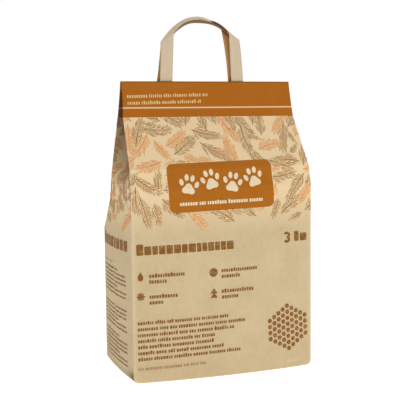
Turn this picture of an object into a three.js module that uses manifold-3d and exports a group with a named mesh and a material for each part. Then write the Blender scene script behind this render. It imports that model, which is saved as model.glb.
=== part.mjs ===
// A filled paper bag of cat litter with two flat paper carrying handles.
//
// Millimetres, +Z up. X runs along the width of the front panel and the front panel faces -Y.
// The origin is the middle of the flat base, where the bag stands.
//
// The bag is the block-bottom, side-gusseted kind: a rectangular base, straight walls that the
// litter swells, shoulders that fall in where the filling ends, and an empty top in which the
// side gussets are tucked inwards and front and back panel close to a flat top seam. It is
// sealed and full, so it is one solid. The handles are two folded paper strips whose legs are
// held in the top seam, one by the front panel and one by the back panel.

import * as THREE from 'three';
import { mergeGeometries, mergeVertices } from 'three/addons/utils/BufferGeometryUtils.js';
import Module from 'manifold-3d';

const wasm = await Module();
wasm.setup();

// Heights of the bag
const SEAM_HEIGHT = 308;       // top of the closed seam
const FILL_HEIGHT = 150;       // the litter keeps the walls apart up to here
const TUCK_START = 196;        // lowest point of the tucked side gusset
const BASE_ROUND = 6.5;        // radius of the fold around the base
const NECK_HEIGHT = 270;       // the shoulders end here and the flat wedge below the seam starts

// Plan sizes of the bag
const BODY_WIDTH = 200;
const BODY_DEPTH = 111;
const SEAM_WIDTH = 190.6;
const SEAM_THICKNESS = 8.2;    // across the handles
const SEAM_END_THICKNESS = 4.6; // at the two ends, where nothing lies between the panels
const SEAM_CENTRE_Y = -8.1;    // the empty top leans a little forward
const NECK_THICKNESS = 22;     // at the neck's height

// How far the filling swells each wall beyond its folds
const FRONT_SWELL = 6.5;
const BACK_SWELL = 7;
const SIDE_SWELL = 5;
const SWELL_LOW = 0.92;        // share of the swelling at the base, where the flaps hold it
const SWELL_PINCH = 0.78;      // least share, just above the base
const PINCH_HEIGHT = 26;
const SWELL_HEIGHT = 90;       // from here up to near the top of the filling it is whole
const SWELL_FADE = 20;         // below the top of the filling, the swelling starts to fade

// Shoulders: the front wall stands almost to the neck, the back wall falls in over the filling
const FRONT_SHOULDER = { start: FILL_HEIGHT + 48, bend: 0.28, settled: 0.1 };
const BACK_SHOULDER = { start: FILL_HEIGHT, bend: 0.42, settled: 0.62 };
const SHOULDER_CURVE = 0.94;   // 1 draws the upper shoulder straight to the neck

// Gussets
const GUSSET_TUCK = 47;        // depth of the tucked fold in the empty top
const GUSSET_REACH = 16;       // the fold is at its whole depth this far below and above the neck
const GLUED_HEIGHT = 8;        // height of the glued seam, in which the gusset is closed
const GUSSET_LIP = 1.5;        // panel and gusset layer together, at the outer fold

// Handles
const STRIP_WIDTH = 14;
const STRIP_THICKNESS = 1.2;
const HANDLE_SPAN = 94.8;      // over the outer edges of the legs, at the seam
const LEG_DEPTH = 22;          // length of leg held in the seam
const PAPER_CLEARANCE = 0.3;   // between a leg and the pocket that holds it

// Front handle: its arch rises from the legs' inner edges at the front to the outer edges behind.
const FRONT_HANDLE = {
  centreX: -6.2,
  legY: -9.9,
  outer: {
    cornerHalf: 44.8, cornerY: -6.6, cornerRise: 41.5,
    crownY: 2.5, crownRise: 69.4, power: 1.95, lean: 0.45,
  },
  inner: {
    cornerHalf: 31.3, cornerY: -10.3, cornerRise: 50,
    crownY: -10.6, crownRise: 64, power: 2.4, lean: -0.5,
  },
};

// Back handle: the same strip folded the other way round, so it nests under the front one.
const BACK_HANDLE = {
  centreX: -8,
  legY: -5.9,
  outer: {
    cornerHalf: 42, cornerY: -4.1, cornerRise: 37,
    crownY: -6.2, crownRise: 63.7, power: 2.1, lean: 0.1,
  },
  inner: {
    cornerHalf: 29, cornerY: 2.6, cornerRise: 55.5,
    crownY: 6.6, crownRise: 63.2, power: 2.2, lean: 0,
  },
};

// Fineness of the curved surfaces
const PANEL_STEPS = 14;        // across the front and the back panel
const TUCK_STEPS = 4;          // from a fold to the middle of a side
const BASE_STEPS = 5;          // around the fold of the base
const WALL_STEP = 15;          // between outlines along the filled walls
const TOP_STEP = 6.5;          // between outlines along the shoulders and the seam
const ARCH_STEPS = 26;
const LEG_STEPS = 9;
const STRIP_STEPS = 3;         // across a strip

const KRAFT = '#d3bd95';
const HANDLE_KRAFT = '#cfb897';

const { clamp, lerp, smoothstep } = THREE.MathUtils;

/** Straight blend from a at height z0 to b at height z1, level outside. */
function ramp(z, z0, z1, a, b) {
  return lerp(a, b, clamp((z - z0) / (z1 - z0), 0, 1));
}

/** S-shaped blend from a at height z0 to b at height z1, level outside. */
function ease(z, z0, z1, a, b) {
  return lerp(a, b, smoothstep(z, z0, z1));
}

/** How far the fold around the base sets a wall in, at height z: a quarter circle. */
function baseInset(z) {
  const drop = clamp(BASE_ROUND - z, 0, BASE_ROUND);
  return BASE_ROUND - Math.sqrt(BASE_ROUND ** 2 - drop ** 2);
}

/** Half the width between the left and right folds at height z. */
function halfWidth(z) {
  return ease(z, TUCK_START, SEAM_HEIGHT, BODY_WIDTH, SEAM_WIDTH) / 2 - baseInset(z);
}

/**
 * Y of the vertical folds at height z, side -1 in front and 1 behind. The body is a box and the
 * neck a straight wedge. Between them the wall settles inwards until the bend of its shoulder,
 * and then runs to the neck.
 */
function foldY(z, side) {
  const seam = SEAM_CENTRE_Y + side * SEAM_END_THICKNESS / 2;
  const neck = SEAM_CENTRE_Y + side * NECK_THICKNESS / 2;
  const wall = side * (BODY_DEPTH / 2 - baseInset(z));
  const { start, bend, settled } = side < 0 ? FRONT_SHOULDER : BACK_SHOULDER;
  const t = ramp(z, start, NECK_HEIGHT, 0, 1);
  const shoulder = lerp(wall, neck, settled * Math.max(0, 2 * smoothstep(t, -bend, bend) - 1));
  const late = ramp(t, bend, 1, 0, 1) ** SHOULDER_CURVE;
  return z < NECK_HEIGHT ? lerp(shoulder, neck, late) : ramp(z, NECK_HEIGHT, SEAM_HEIGHT, neck, seam);
}

/** How far the wall stands out between its folds at height z. */
function swell(z, most) {
  const bottom = ease(z, 0, PINCH_HEIGHT, SWELL_LOW, SWELL_PINCH);
  const middle = ease(z, PINCH_HEIGHT, SWELL_HEIGHT, bottom, 1);
  return most * middle * ease(z, FILL_HEIGHT - SWELL_FADE, NECK_HEIGHT, 1, 0);
}

/** Extra half thickness of the seam between the folds, which leaves room for the handles. */
function seamFullness(z) {
  return ease(z, NECK_HEIGHT, SEAM_HEIGHT, 0, (SEAM_THICKNESS - SEAM_END_THICKNESS) / 2);
}

/** How far the gusset is tucked in at height z; below the tuck the side swells out instead. */
function tuck(z) {
  const open = ease(z, TUCK_START, NECK_HEIGHT - GUSSET_REACH, 0, GUSSET_TUCK);
  return open * ramp(z, NECK_HEIGHT + GUSSET_REACH, SEAM_HEIGHT - GLUED_HEIGHT, 1, 0);
}

/** Points across a front (side -1) or back (side 1) panel, from the left fold to the right. */
function panelPoints(z, side) {
  const points = [];
  const half = halfWidth(z);
  for (let i = 0; i <= PANEL_STEPS; i++) {
    const u = i / PANEL_STEPS * 2 - 1;
    const swollen = swell(z, side < 0 ? FRONT_SWELL : BACK_SWELL) * (1 - Math.abs(u) ** 2.3);
    const full = seamFullness(z) * (1 - Math.abs(u) ** 6);
    points.push(new THREE.Vector3(half * u, foldY(z, side) + side * (swollen + full), z));
  }
  return points;
}

/** Points across a side, from the front fold to the back fold, without the two folds. */
function sidePoints(z, hand) {
  const points = [];
  const front = foldY(z, -1);
  const back = foldY(z, 1);
  const half = halfWidth(z);
  const lipShare = GUSSET_LIP / ((back - front) / 2);
  for (let i = 1 - TUCK_STEPS; i < TUCK_STEPS; i++) {
    const s = Math.sign(i) * Math.min(Math.abs(i) / (TUCK_STEPS - 1), 1) * (1 - lipShare);
    const inward = tuck(z) * (1 - Math.abs(s) / (1 - lipShare));
    const outward = swell(z, SIDE_SWELL) * (1 - s ** 2);
    const x = half + outward - inward;
    points.push(new THREE.Vector3(hand * x, lerp(front, back, (s + 1) / 2), z));
  }
  return points;
}

/** One closed outline of the bag at height z, anticlockwise from above. */
function bagOutline(z) {
  return [
    ...panelPoints(z, -1),
    ...sidePoints(z, 1),
    ...panelPoints(z, 1).reverse(),
    ...sidePoints(z, -1).reverse(),
  ];
}

/** Heights of the outlines: close together where the form bends most. */
function bagHeights() {
  const heights = [];
  for (let i = 0; i < BASE_STEPS; i++) {
    heights.push(BASE_ROUND * (1 - Math.cos(i / BASE_STEPS * Math.PI / 2)));
  }
  for (let z = BASE_ROUND; z < FILL_HEIGHT - TOP_STEP; z += WALL_STEP) heights.push(z);
  for (let z = FILL_HEIGHT; z < SEAM_HEIGHT - TOP_STEP / 2; z += TOP_STEP) heights.push(z);
  heights.push(SEAM_HEIGHT);
  return heights;
}

/**
 * Skins a row of equal closed sections and closes both ends. startCap and endCap are the
 * triangles of the first and the last section, each with its corners in the order of the section.
 */
function skin(sections, startCap, endCap) {
  const count = sections[0].length;
  const positions = sections.flat().flatMap((p) => [p.x, p.y, p.z]);
  const index = [];
  for (let row = 0; row + 1 < sections.length; row++) {
    for (let i = 0; i < count; i++) {
      const a = row * count + i;
      const b = row * count + (i + 1) % count;
      index.push(a, b, b + count, a, b + count, a + count);
    }
  }
  const last = (sections.length - 1) * count;
  for (const [a, b, c] of startCap) index.push(c, b, a);
  for (const [a, b, c] of endCap) index.push(last + a, last + b, last + c);
  const geometry = new THREE.BufferGeometry();
  geometry.setAttribute('position', new THREE.Float32BufferAttribute(positions, 3));
  geometry.setIndex(index);
  geometry.computeVertexNormals();
  return geometry;
}

/** The triangles that close a level outline. */
function levelCap(outline) {
  return THREE.ShapeUtils.triangulateShape(outline.map((p) => new THREE.Vector2(p.x, p.y)), []);
}

/** The solid of a closed geometry, for cutting. */
function toSolid(geometry) {
  const bare = geometry.clone();
  bare.deleteAttribute('normal');
  bare.deleteAttribute('uv');
  const merged = mergeVertices(bare, 1e-4);
  return new wasm.Manifold(new wasm.Mesh({
    numProp: 3,
    vertProperties: new Float32Array(merged.attributes.position.array),
    triVerts: new Uint32Array(merged.index.array),
  }));
}

/** The geometry of a solid, after cutting. */
function toGeometry(solid) {
  const mesh = solid.getMesh();
  const geometry = new THREE.BufferGeometry();
  geometry.setAttribute('position', new THREE.Float32BufferAttribute(mesh.vertProperties, 3));
  geometry.setIndex(new THREE.Uint32BufferAttribute(mesh.triVerts, 1));
  geometry.computeVertexNormals();
  return geometry;
}

/** X of the middle of a leg at the seam; hand is -1 for the left leg and 1 for the right. */
function legX(handle, hand) {
  return handle.centreX + hand * (HANDLE_SPAN - STRIP_WIDTH) / 2;
}

/** The four pockets in the seam that hold the handles' legs. */
function pockets() {
  const width = STRIP_WIDTH + 2 * PAPER_CLEARANCE;
  const thickness = STRIP_THICKNESS + 2 * PAPER_CLEARANCE;
  const depth = LEG_DEPTH + PAPER_CLEARANCE;
  const above = 2;
  const boxes = [];
  for (const handle of [FRONT_HANDLE, BACK_HANDLE]) {
    for (const hand of [-1, 1]) {
      const box = new THREE.BoxGeometry(width, thickness, depth + above);
      box.translate(legX(handle, hand), handle.legY, SEAM_HEIGHT - (depth - above) / 2);
      boxes.push(box);
    }
  }
  return mergeGeometries(boxes);
}

function makeBag() {
  const outlines = bagHeights().map(bagOutline);
  const whole = skin(outlines, levelCap(outlines[0]), levelCap(outlines.at(-1)));
  return toGeometry(toSolid(whole).subtract(toSolid(pockets())));
}

/** A point on one edge of a leg. t runs from 0 at the foot to 1 at the corner of the fold. */
function legPoint(handle, edge, footHalf, hand, t) {
  const foot = SEAM_HEIGHT - LEG_DEPTH;
  const z = lerp(foot, SEAM_HEIGHT + edge.cornerRise, t);
  const free = clamp((z - SEAM_HEIGHT) / edge.cornerRise, 0, 1);
  const half = lerp(footHalf, edge.cornerHalf, free);
  const y = lerp(handle.legY, edge.cornerY, free ** 2.5);
  return new THREE.Vector3(handle.centreX + hand * half, y, z);
}

/**
 * A point on one edge of the arch, u from -1 at the left corner to 1 at the right corner.
 * Carrying has twisted the arches: lean lowers (or, below 0, raises) an edge on the right.
 */
function archPoint(handle, edge, u) {
  const leaning = u + edge.lean * Math.max(u, 0) * (1 - u);
  const level = Math.abs(leaning) ** edge.power;
  return new THREE.Vector3(
    handle.centreX + edge.cornerHalf * u,
    lerp(edge.crownY, edge.cornerY, u ** 2),
    SEAM_HEIGHT + lerp(edge.crownRise, edge.cornerRise, level),
  );
}

/** One edge of a handle from foot to foot, as equally many points for either edge. */
function handleEdge(handle, edge, footHalf) {
  const points = [];
  for (let i = 0; i < LEG_STEPS; i++) {
    points.push(legPoint(handle, edge, footHalf, -1, i / LEG_STEPS));
  }
  for (let i = 0; i <= ARCH_STEPS; i++) {
    const even = i / ARCH_STEPS * 2 - 1;
    points.push(archPoint(handle, edge, lerp(even, Math.sin(even * Math.PI / 2), 0.5)));
  }
  for (let i = LEG_STEPS - 1; i >= 0; i--) {
    points.push(legPoint(handle, edge, footHalf, 1, i / LEG_STEPS));
  }
  return points;
}

/**
 * A paper strip between two edges, as sections across it. Half the thickness lies on either side,
 * along the mean of the normals before and after each section. The legs and the arch are skinned
 * by themselves and then joined, because their layers meet where the strip is folded over.
 */
function makeHandle(handle) {
  const outer = handleEdge(handle, handle.outer, HANDLE_SPAN / 2);
  const inner = handleEdge(handle, handle.inner, HANDLE_SPAN / 2 - STRIP_WIDTH);
  const across = outer.map((point, i) => inner[i].clone().sub(point));
  const normalBetween = (i, j) => {
    const along = outer[j].clone().sub(outer[i]).add(inner[j]).sub(inner[i]);
    return across[i].clone().add(across[j]).cross(along).normalize();
  };
  const sections = outer.map((point, i) => {
    const before = normalBetween(Math.max(i - 1, 0), i);
    const after = normalBetween(i, Math.min(i + 1, outer.length - 1));
    const offset = before.add(after).setLength(STRIP_THICKNESS / 2);
    const face = (side) => Array.from({ length: STRIP_STEPS + 1 }, (_, k) =>
      point.clone().addScaledVector(across[i], k / STRIP_STEPS).addScaledVector(offset, side));
    return [...face(1), ...face(-1).reverse()];
  });
  const corners = [0, LEG_STEPS, LEG_STEPS + ARCH_STEPS, sections.length - 1];
  const [leftLeg, arch, rightLeg] = [0, 1, 2].map((k) =>
    toSolid(skin(sections.slice(corners[k], corners[k + 1] + 1), stripCap(), stripCap())));
  return toGeometry(leftLeg.add(arch).add(rightLeg));
}

/** The triangles that close a strip's section: the two faces of the strip face each other. */
function stripCap() {
  const count = 2 * (STRIP_STEPS + 1);
  const triangles = [];
  for (let k = 0; k < STRIP_STEPS; k++) {
    triangles.push([k, k + 1, count - 2 - k], [k, count - 2 - k, count - 1 - k]);
  }
  return triangles;
}

function piece(name, geometry, color) {
  const material = new THREE.MeshStandardMaterial({ color, roughness: 0.85, metalness: 0 });
  const mesh = new THREE.Mesh(geometry, material);
  mesh.name = name;
  return mesh;
}

const litterBag = new THREE.Group();
litterBag.name = 'cat_litter_bag';
litterBag.add(piece('filled_bag', makeBag(), KRAFT));
litterBag.add(piece('front_handle', makeHandle(FRONT_HANDLE), HANDLE_KRAFT));
litterBag.add(piece('back_handle', makeHandle(BACK_HANDLE), HANDLE_KRAFT));

export default litterBag;
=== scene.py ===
# %% [markdown]
# # A filled paper bag of cat litter, from a fixed CAD frame to a rendered picture
#
# The CAD model gives three solids: the filled bag and two folded paper handles. This lesson
# rebuilds them as fine surfaces, each worked out by a formula, and gives them paper and print.
#
# 1. the frame, the bag's profiles and its paper surface, with folds, creases and dents
# 2. the two handles, as ruled strips between two edge curves
# 3. the print: every printed shape is a ribbon of varying width, laid on the paper
# 4. materials as plain shader arithmetic
# 5. camera, light and floor

# %% The frame
import math

import bpy
import numpy as np
from mathutils import Matrix, Vector


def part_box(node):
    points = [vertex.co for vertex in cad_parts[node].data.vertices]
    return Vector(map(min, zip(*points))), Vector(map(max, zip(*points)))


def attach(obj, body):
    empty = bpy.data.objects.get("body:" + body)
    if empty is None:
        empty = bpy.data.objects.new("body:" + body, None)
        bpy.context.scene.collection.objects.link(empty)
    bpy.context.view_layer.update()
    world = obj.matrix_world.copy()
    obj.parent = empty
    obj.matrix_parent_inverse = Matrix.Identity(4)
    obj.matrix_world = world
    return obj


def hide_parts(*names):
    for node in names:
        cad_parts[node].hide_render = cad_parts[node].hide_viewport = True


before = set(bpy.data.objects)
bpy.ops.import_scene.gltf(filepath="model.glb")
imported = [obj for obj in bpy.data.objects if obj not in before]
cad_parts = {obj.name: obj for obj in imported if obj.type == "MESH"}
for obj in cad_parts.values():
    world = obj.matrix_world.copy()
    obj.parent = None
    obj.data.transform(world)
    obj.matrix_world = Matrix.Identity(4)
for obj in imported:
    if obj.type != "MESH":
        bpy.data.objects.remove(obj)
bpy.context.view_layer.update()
BAG_LOW, BAG_HIGH = (np.array(corner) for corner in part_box("filled_bag"))
print("bag", BAG_LOW.round(4), BAG_HIGH.round(4))

# %% [markdown]
# ## 1. The bag's profiles
#
# The real bag is a paper tube with a folded block bottom. The litter swells its body into a box
# with soft walls, and the empty top is pressed flat, glued, and tucked in at both sides. It could
# be folded from a flat sheet with cloth physics, but then no size could be set. Here the bag is
# a set of profiles over the height instead: its width, its depth, the swelling of its walls and
# the depth of the tuck. Lengths are in metres, and the main sizes are those of the CAD model.

# %% Sizes of the bag
MM = 0.001
SEAM_HEIGHT = float(BAG_HIGH[2])
NECK_HEIGHT = 270 * MM    # from here up the two panels close as a straight wedge
TUCK_START = 196 * MM     # lowest point of the gussets
FILL_HEIGHT = 150 * MM    # the walls are box-like up to here
BASE_ROUND = 1.8 * MM     # radius of the base's fold under the front and the back
SIDE_ROUND = 6.5 * MM     # radius of the softer fold under the sides
BODY_WIDTH = 200 * MM
BODY_DEPTH = 111 * MM
SEAM_WIDTH = 190.6 * MM
SEAM_THICKNESS = 8.2 * MM
SEAM_END_THICKNESS = 4.6 * MM
SEAM_CENTRE_Y = -8.1 * MM
NECK_THICKNESS = 22 * MM

# How far the filling swells each wall, and its share at the base and just above it.
FRONT_SWELL = 6.5 * MM
BACK_SWELL = 7 * MM
SIDE_SWELL = 5 * MM
SWELL_LOW, SWELL_PINCH = 0.92, 0.78
PINCH_HEIGHT = 26 * MM
SWELL_HEIGHT = 90 * MM
SWELL_FADE = 20 * MM
SIDE_HELD, SIDE_FREE_HEIGHT = 0.45, 20 * MM

# The front wall stands almost to the neck, the back wall falls in early.
FRONT_SHOULDER = {"start": FILL_HEIGHT + 48 * MM, "bend": 0.28, "settled": 0.10}
BACK_SHOULDER = {"start": FILL_HEIGHT, "bend": 0.42, "settled": 0.62}
SHOULDER_CURVE = 0.94

GUSSET_TUCK = 47 * MM
GUSSET_REACH = 16 * MM    # the tuck is whole this far below the neck, and closes as far above
GUSSET_LIP = 0.8 * MM
GLUED_HEIGHT = 8 * MM
print(f"body {BODY_WIDTH / MM:.0f} by {BODY_DEPTH / MM:.0f} mm, seam at {SEAM_HEIGHT / MM:.1f} mm")


# %% Profiles over the height
def lerp(a, b, t):
    """Straight blend a + (b - a) t."""
    return a + (b - a) * t


def ramp(z, z0, z1, a, b):
    """Straight blend from a at z0 to b at z1, level outside: t = clip((z - z0) / (z1 - z0))."""
    return lerp(a, b, np.clip((z - z0) / (z1 - z0), 0, 1))


def ease(z, z0, z1, a, b):
    """S-shaped blend from a at z0 to b at z1: t = 3 s^2 - 2 s^3 of the straight share s."""
    s = np.clip((z - z0) / (z1 - z0), 0, 1)
    return lerp(a, b, s * s * (3 - 2 * s))


def base_inset(z, radius):
    """Quarter circle at the base: r - sqrt(r^2 - (r - z)^2) for z below r, else 0."""
    drop = np.clip(radius - z, 0, radius)
    return radius - np.sqrt(radius**2 - drop**2)


def half_width(z):
    """Half the width between the left and right folds."""
    return ease(z, TUCK_START, SEAM_HEIGHT, BODY_WIDTH, SEAM_WIDTH) / 2 - base_inset(z, SIDE_ROUND)


def fold_y(z, side):
    """Y of the vertical folds, side -1 at the front and 1 at the back.

    With t from 0 at the start of the shoulder to 1 at the neck, the wall first settles inwards,
    2 smoothstep(t; -bend, bend) - 1, and past the bend runs to the neck as late^p.
    """
    seam = SEAM_CENTRE_Y + side * SEAM_END_THICKNESS / 2
    neck = SEAM_CENTRE_Y + side * NECK_THICKNESS / 2
    wall = side * (BODY_DEPTH / 2 - base_inset(z, BASE_ROUND))
    form = FRONT_SHOULDER if side < 0 else BACK_SHOULDER
    t = ramp(z, form["start"], NECK_HEIGHT, 0, 1)
    early = 2 * ease(t, -form["bend"], form["bend"], 0, 1) - 1
    shoulder = lerp(wall, neck, form["settled"] * np.maximum(early, 0))
    late = ramp(t, form["bend"], 1, 0, 1) ** SHOULDER_CURVE
    wedge = ramp(z, NECK_HEIGHT, SEAM_HEIGHT, neck, seam)
    return np.where(z < NECK_HEIGHT, lerp(shoulder, neck, late), wedge)


def swell(z, most):
    """How far the filling pushes a wall out between its folds."""
    bottom = ease(z, 0, PINCH_HEIGHT, SWELL_LOW, SWELL_PINCH)
    middle = ease(z, PINCH_HEIGHT, SWELL_HEIGHT, bottom, 1)
    return most * middle * ease(z, FILL_HEIGHT - SWELL_FADE, NECK_HEIGHT, 1, 0)


def seam_fullness(z):
    """Extra half thickness of the seam where the handles' legs lie between the panels."""
    return ease(z, NECK_HEIGHT, SEAM_HEIGHT, 0, (SEAM_THICKNESS - SEAM_END_THICKNESS) / 2)


def tuck(z):
    """Depth of the gusset fold: it opens above the filling and is glued shut near the seam."""
    opened = ease(z, TUCK_START, NECK_HEIGHT - GUSSET_REACH, 0, GUSSET_TUCK)
    return opened * ramp(z, NECK_HEIGHT + GUSSET_REACH, SEAM_HEIGHT - GLUED_HEIGHT, 1, 0)


for name, z in {"base": 0.0, "body": 0.1, "shoulder": 0.23, "seam": SEAM_HEIGHT}.items():
    print(f"{name:9s} half width {half_width(z):.4f}  front {fold_y(z, -1):.4f}"
          f"  back {fold_y(z, 1):.4f}  tuck {tuck(z):.4f}")

# %% [markdown]
# ## Dents and creases
#
# Paper bends easily but doesn't stretch, so a filled bag shows two kinds of relief: broad soft
# dents where the litter has settled, and narrow creases, straight and sharp, that run out from
# folds and corners. They could be sculpted or left to a bump map. Here each is a height over
# the panel's own plane, because a sum of heights stays a plain function of two coordinates: the
# print can be laid on the same relief, and the mesh has it too.


# %% Dents and creases
def dent(a, z, centre, size, depth):
    """Soft dent: depth * exp(-((a - ca) / sa)^2 - ((z - cz) / sz)^2), negative goes in."""
    return depth * np.exp(-(((a - centre[0]) / size[0]) ** 2) - ((z - centre[1]) / size[1]) ** 2)


def crease(a, z, start, end, width, depth):
    """Sharp crease from start to end: depth * exp(-d / width), fading out past both ends.

    d is the distance from the crease's line, softened as sqrt(d^2 + e^2) so that the crest is
    round over a fraction of the width.
    """
    start, end = np.array(start), np.array(end)
    along = end - start
    length = np.hypot(*along)
    along = along / length
    u = (a - start[0]) * along[0] + (z - start[1]) * along[1]
    d = (a - start[0]) * along[1] - (z - start[1]) * along[0]
    soft = np.sqrt(d**2 + (0.18 * width) ** 2)
    fade = np.clip(u / (0.25 * length), 0, 1) * np.clip((length - u) / (0.35 * length), 0, 1)
    return depth * fade * np.exp(-soft / width)


def random_creases(a, z, seed, count, area, length, width, depth):
    """A sum of creases with random places, slopes and signs, from a fixed seed."""
    rng = np.random.default_rng(seed)
    total = np.zeros(np.broadcast(a, z).shape)
    for _ in range(count):
        centre = rng.uniform((area[0], area[1]), (area[2], area[3]))
        angle = rng.uniform(-1.0, 1.0) + rng.choice([0.0, math.pi / 2])
        reach = length * rng.uniform(0.5, 1.3) / 2
        step = reach * np.array([math.cos(angle), math.sin(angle)])
        sign = rng.choice([-1, 1]) * rng.uniform(0.4, 1.0)
        total = total + crease(a, z, centre - step, centre + step, width, depth * sign)
    return total


def settled_relief(a, z, dents, creases):
    """Sum of a panel's own dents and creases."""
    return (sum(dent(a, z, *form) for form in dents)
            + sum(crease(a, z, *form) for form in creases))


print("share of a dent left at twice its size:", dent(2, 0, (0, 0), (1, 1), 1).round(3))

# %% Relief of each wall, from its own dents and creases
# A dent is centre, size, depth. A crease is start, end, width, depth.
FRONT_DENTS = [((-0.062, 0.236), (0.030, 0.018), -0.9 * MM),
               ((0.035, 0.228), (0.040, 0.014), 0.8 * MM),
               ((0.070, 0.160), (0.026, 0.050), -0.7 * MM),
               ((-0.075, 0.120), (0.016, 0.060), -0.8 * MM),
               ((0.020, 0.060), (0.060, 0.030), 0.6 * MM)]
FRONT_CREASES = [((0.066, 0.006), (0.098, 0.019), 3.0 * MM, 0.9 * MM),
                 ((0.058, 0.003), (0.097, 0.008), 2.5 * MM, -0.9 * MM),
                 ((-0.100, 0.190), (-0.052, 0.213), 5 * MM, -0.7 * MM),
                 ((0.100, 0.188), (0.055, 0.208), 5 * MM, -0.7 * MM)]
BACK_DENTS = [((0.04, 0.185), (0.045, 0.014), -1.2 * MM),
              ((-0.05, 0.100), (0.040, 0.045), -0.9 * MM)]
BACK_CREASES = [((-0.100, 0.146), (-0.020, 0.166), 6 * MM, -1.0 * MM),
                ((0.100, 0.140), (0.020, 0.170), 6 * MM, -1.0 * MM)]
BACK_SEAM_X = 61.7 * MM
BACK_SEAM_STEP = 0.35 * MM
SIDE_DENTS = [((-0.026, 0.186), (0.018, 0.014), 1.4 * MM),
              ((0.020, 0.060), (0.022, 0.045), -0.8 * MM)]
SIDE_CREASES = [((0.0, 0.250), (0.0, 0.012), 2.6 * MM, -1.5 * MM),
                ((-0.004, 0.214), (-0.055, 0.176), 4 * MM, -2.2 * MM),
                ((0.004, 0.204), (0.053, 0.150), 4 * MM, 2.2 * MM),
                ((0.020, 0.236), (0.050, 0.176), 3 * MM, -1.6 * MM)]
FLAT_AT_BASE = 6 * MM     # the relief starts at the base and is whole at this height


def panel_fade(z):
    """Share of a panel's relief: none at the base, little in the glued seam."""
    return ease(z, 0.268, 0.285, 1, 0.12) * ease(z, 0, FLAT_AT_BASE, 0, 1)


def front_relief(x, z):
    """Relief of the front panel, positive outwards."""
    relief = settled_relief(x, z, FRONT_DENTS, FRONT_CREASES)
    relief += random_creases(x, z, 5, 22, (-0.09, 0.02, 0.09, 0.26), 0.05, 3.5 * MM, 0.22 * MM)
    return relief * panel_fade(z)


def back_relief(x, z):
    """Relief of the back panel, positive outwards, with the glued seam of the paper tube."""
    relief = settled_relief(x, z, BACK_DENTS, BACK_CREASES)
    relief += random_creases(x, z, 11, 30, (-0.09, 0.02, 0.09, 0.26), 0.06, 4 * MM, 0.4 * MM)
    relief += BACK_SEAM_STEP * ease(x, BACK_SEAM_X - MM / 2, BACK_SEAM_X + MM / 2, 0, 1)
    return relief * panel_fade(z)


def side_relief(s, z, hand):
    """Relief of a side in terms of s, -1 at the front fold and 1 at the back fold.

    The pre-folded middle crease stays visible down the swollen side, and two creases run from
    the lowest point of the tuck out to the folds, where the paper turns from swollen to tucked.
    """
    a = s * BODY_DEPTH / 2
    seed = 21 if hand < 0 else 31
    relief = settled_relief(a, z, SIDE_DENTS, SIDE_CREASES)
    relief += random_creases(a, z, seed, 26, (-0.05, 0.02, 0.05, 0.24), 0.045, 3.5 * MM, 0.42 * MM)
    fade = ease(z, 0, FLAT_AT_BASE, 0, 1) * ease(z, 0.262, 0.285, 1, 0)
    return relief * ease(np.abs(s), 0.9, 1.0, 1, 0) * fade


grid = np.meshgrid(np.linspace(-0.1, 0.1, 80), np.linspace(0, 0.3, 120))
print("front relief in mm", (front_relief(*grid) / MM).min().round(2),
      (front_relief(*grid) / MM).max().round(2))

# %% [markdown]
# ## The surface as a function
#
# The bag has four walls: two panels and two sides, each between two vertical folds. Instead of
# pushing the vertices of a box about, every wall is a map from (across, height) to space. The
# mesh asks the map for its points, and so does the print, so a printed leaf bends over a dent
# together with the paper under it.


# %% The walls as maps
def panel_surface(x_share, z, side):
    """Point of the front (side -1) or back (side 1) panel; x_share runs from -1 to 1.

    x = half * share,  y = fold + side * (swell (1 - |share|^2.3) + seam (1 - share^6) + relief)
    """
    half = half_width(z)
    x = half * x_share
    most = FRONT_SWELL if side < 0 else BACK_SWELL
    out = swell(z, most) * (1 - np.abs(x_share) ** 2.3)
    out = out + seam_fullness(z) * (1 - np.abs(x_share) ** 6)
    relief = front_relief(x, z) if side < 0 else back_relief(x, z)
    edge = ease(np.abs(x_share), 0.93, 1.0, 1, 0.25)
    y = fold_y(z, side) + side * (out + relief * edge)
    return np.stack(np.broadcast_arrays(x, y, z), axis=-1)


def side_surface(s, z, hand):
    """Point of the left (hand -1) or right (hand 1) side; s runs from front -1 to back 1.

    x = hand * (half + swell (1 - s^2) - tuck (1 - |s| / rim) + relief), with less swell near
    the base, whose glued flaps hold the fold straight.
    """
    front, back = fold_y(z, -1), fold_y(z, 1)
    rim = 1 - GUSSET_LIP / ((back - front) / 2)
    inward = tuck(z) * np.clip(1 - np.abs(s) / rim, 0, 1)
    outward = swell(z, SIDE_SWELL) * (1 - s**2)
    outward = outward * ease(z, 0, SIDE_FREE_HEIGHT, SIDE_HELD, 1)
    x = half_width(z) + outward - inward + side_relief(s, z, hand)
    y = lerp(front, back, (s + 1) / 2)
    return np.stack(np.broadcast_arrays(hand * x, y, z), axis=-1)


def surface_normal(surface, a, z, outward, step=0.4 * MM):
    """Unit normal by central differences: n = dS/da x dS/dz, turned to the outward side."""
    across = surface(a + 1e-3, z) - surface(a - 1e-3, z)
    upward = surface(a, z + step) - surface(a, z - step)
    normal = np.cross(across, upward)
    normal /= np.linalg.norm(normal, axis=-1, keepdims=True) + 1e-12
    sign = np.sign(normal @ np.array(outward, dtype=float))
    return normal * np.where(sign == 0, 1, sign)[..., None]


middle = panel_surface(np.array([0.0]), np.array([0.1]), -1)[0]
print("middle of the front panel at 100 mm:", (middle / MM).round(1), "mm")
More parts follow.
